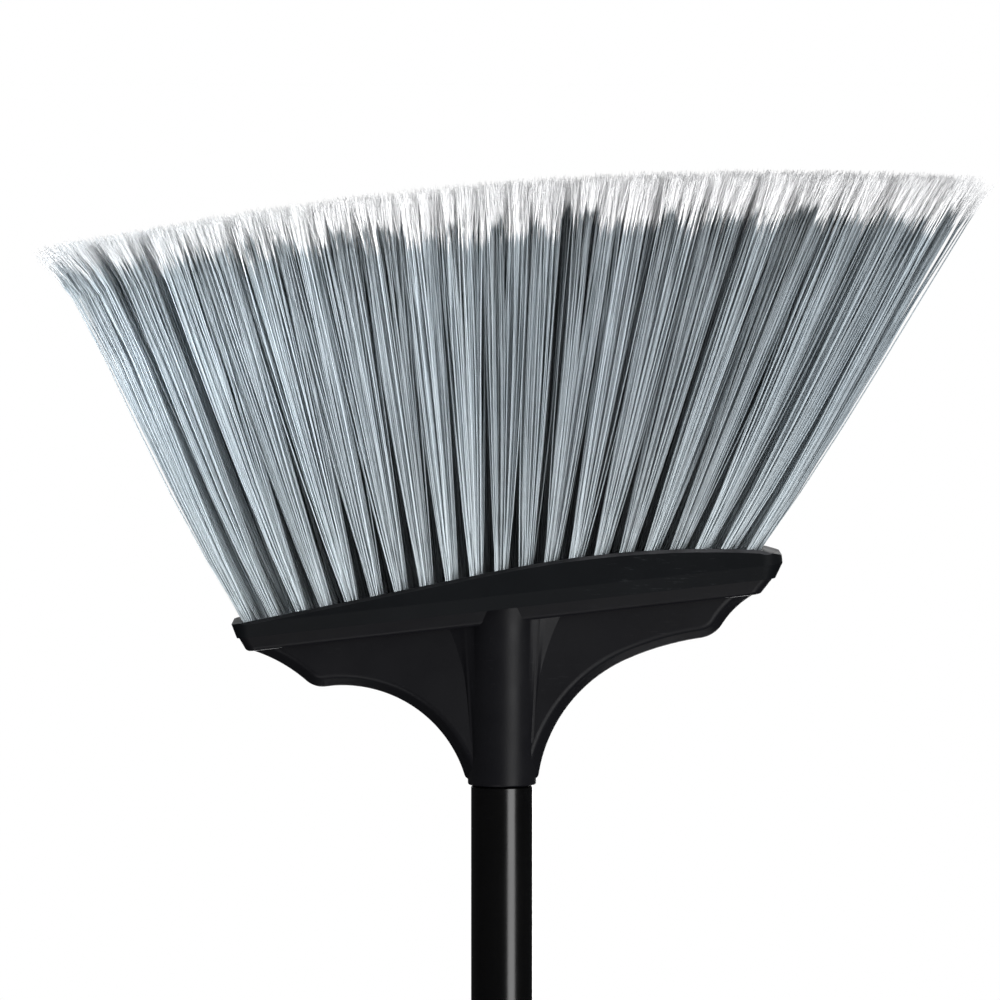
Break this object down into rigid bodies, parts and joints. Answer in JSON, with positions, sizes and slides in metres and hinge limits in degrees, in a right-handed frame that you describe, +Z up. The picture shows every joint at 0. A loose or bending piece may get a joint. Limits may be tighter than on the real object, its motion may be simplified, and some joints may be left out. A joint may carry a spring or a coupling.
{
  "type": "angle broom",
  "caption": "Angle broom with a slanted black head, a fan of grey flagged bristles, a threaded socket and a long black tube handle with a swivel hanging cap.",
  "frame": {"origin": "on the handle's axis, at the level of the lowest bristle tips", "axes": "+Z up along the handle, from the bristle tips to the hanging cap; +X towards the heel, the high end of the slanted head; the pictured front is -Y"},
  "size_m": [0.3444, 0.064, 1.4124],
  "materials": {
    "head_plastic": "moulded black plastic, satin",
    "block_plastic": "moulded black plastic, fine grain",
    "screw_steel": "black-oxide steel",
    "bristle": "grey plastic fibre with split, paler tips",
    "handle_coat": "gloss black coating on a steel tube",
    "tip_plastic": "moulded black nylon",
    "hang_plastic": "moulded black plastic, satin"
  },
  "bodies": {
    "hanging_cap": {"hang_cap": "hang_plastic"},
    "handle": {"handle_tube": "handle_coat", "threaded_tip": "tip_plastic", "hang_plug": "tip_plastic"},
    "head": {"cap": "head_plastic", "tuft_block": "block_plastic", "cap_screws": "screw_steel", "bristle_row_1": "bristle", "bristle_row_2": "bristle", "bristle_row_3": "bristle", "bristle_row_4": "bristle", "bristle_row_5": "bristle"}
  },
  "joints": [
    {"name": "handle_turn", "type": "hinge", "parent": "hanging_cap", "child": "handle", "pos_m": [0, 0, 1.38], "axis": [0, 0, 1], "range_deg": [0, 2160]},
    {"name": "head_unscrew", "type": "slide", "parent": "hanging_cap", "child": "head", "axis": [0, 0, -1], "range_m": [0, 0.03048]}
  ],
  "couplings": [
    {"joint": "handle_turn", "follows": "head_unscrew", "rad_per_m": 1236.8}
  ]
}
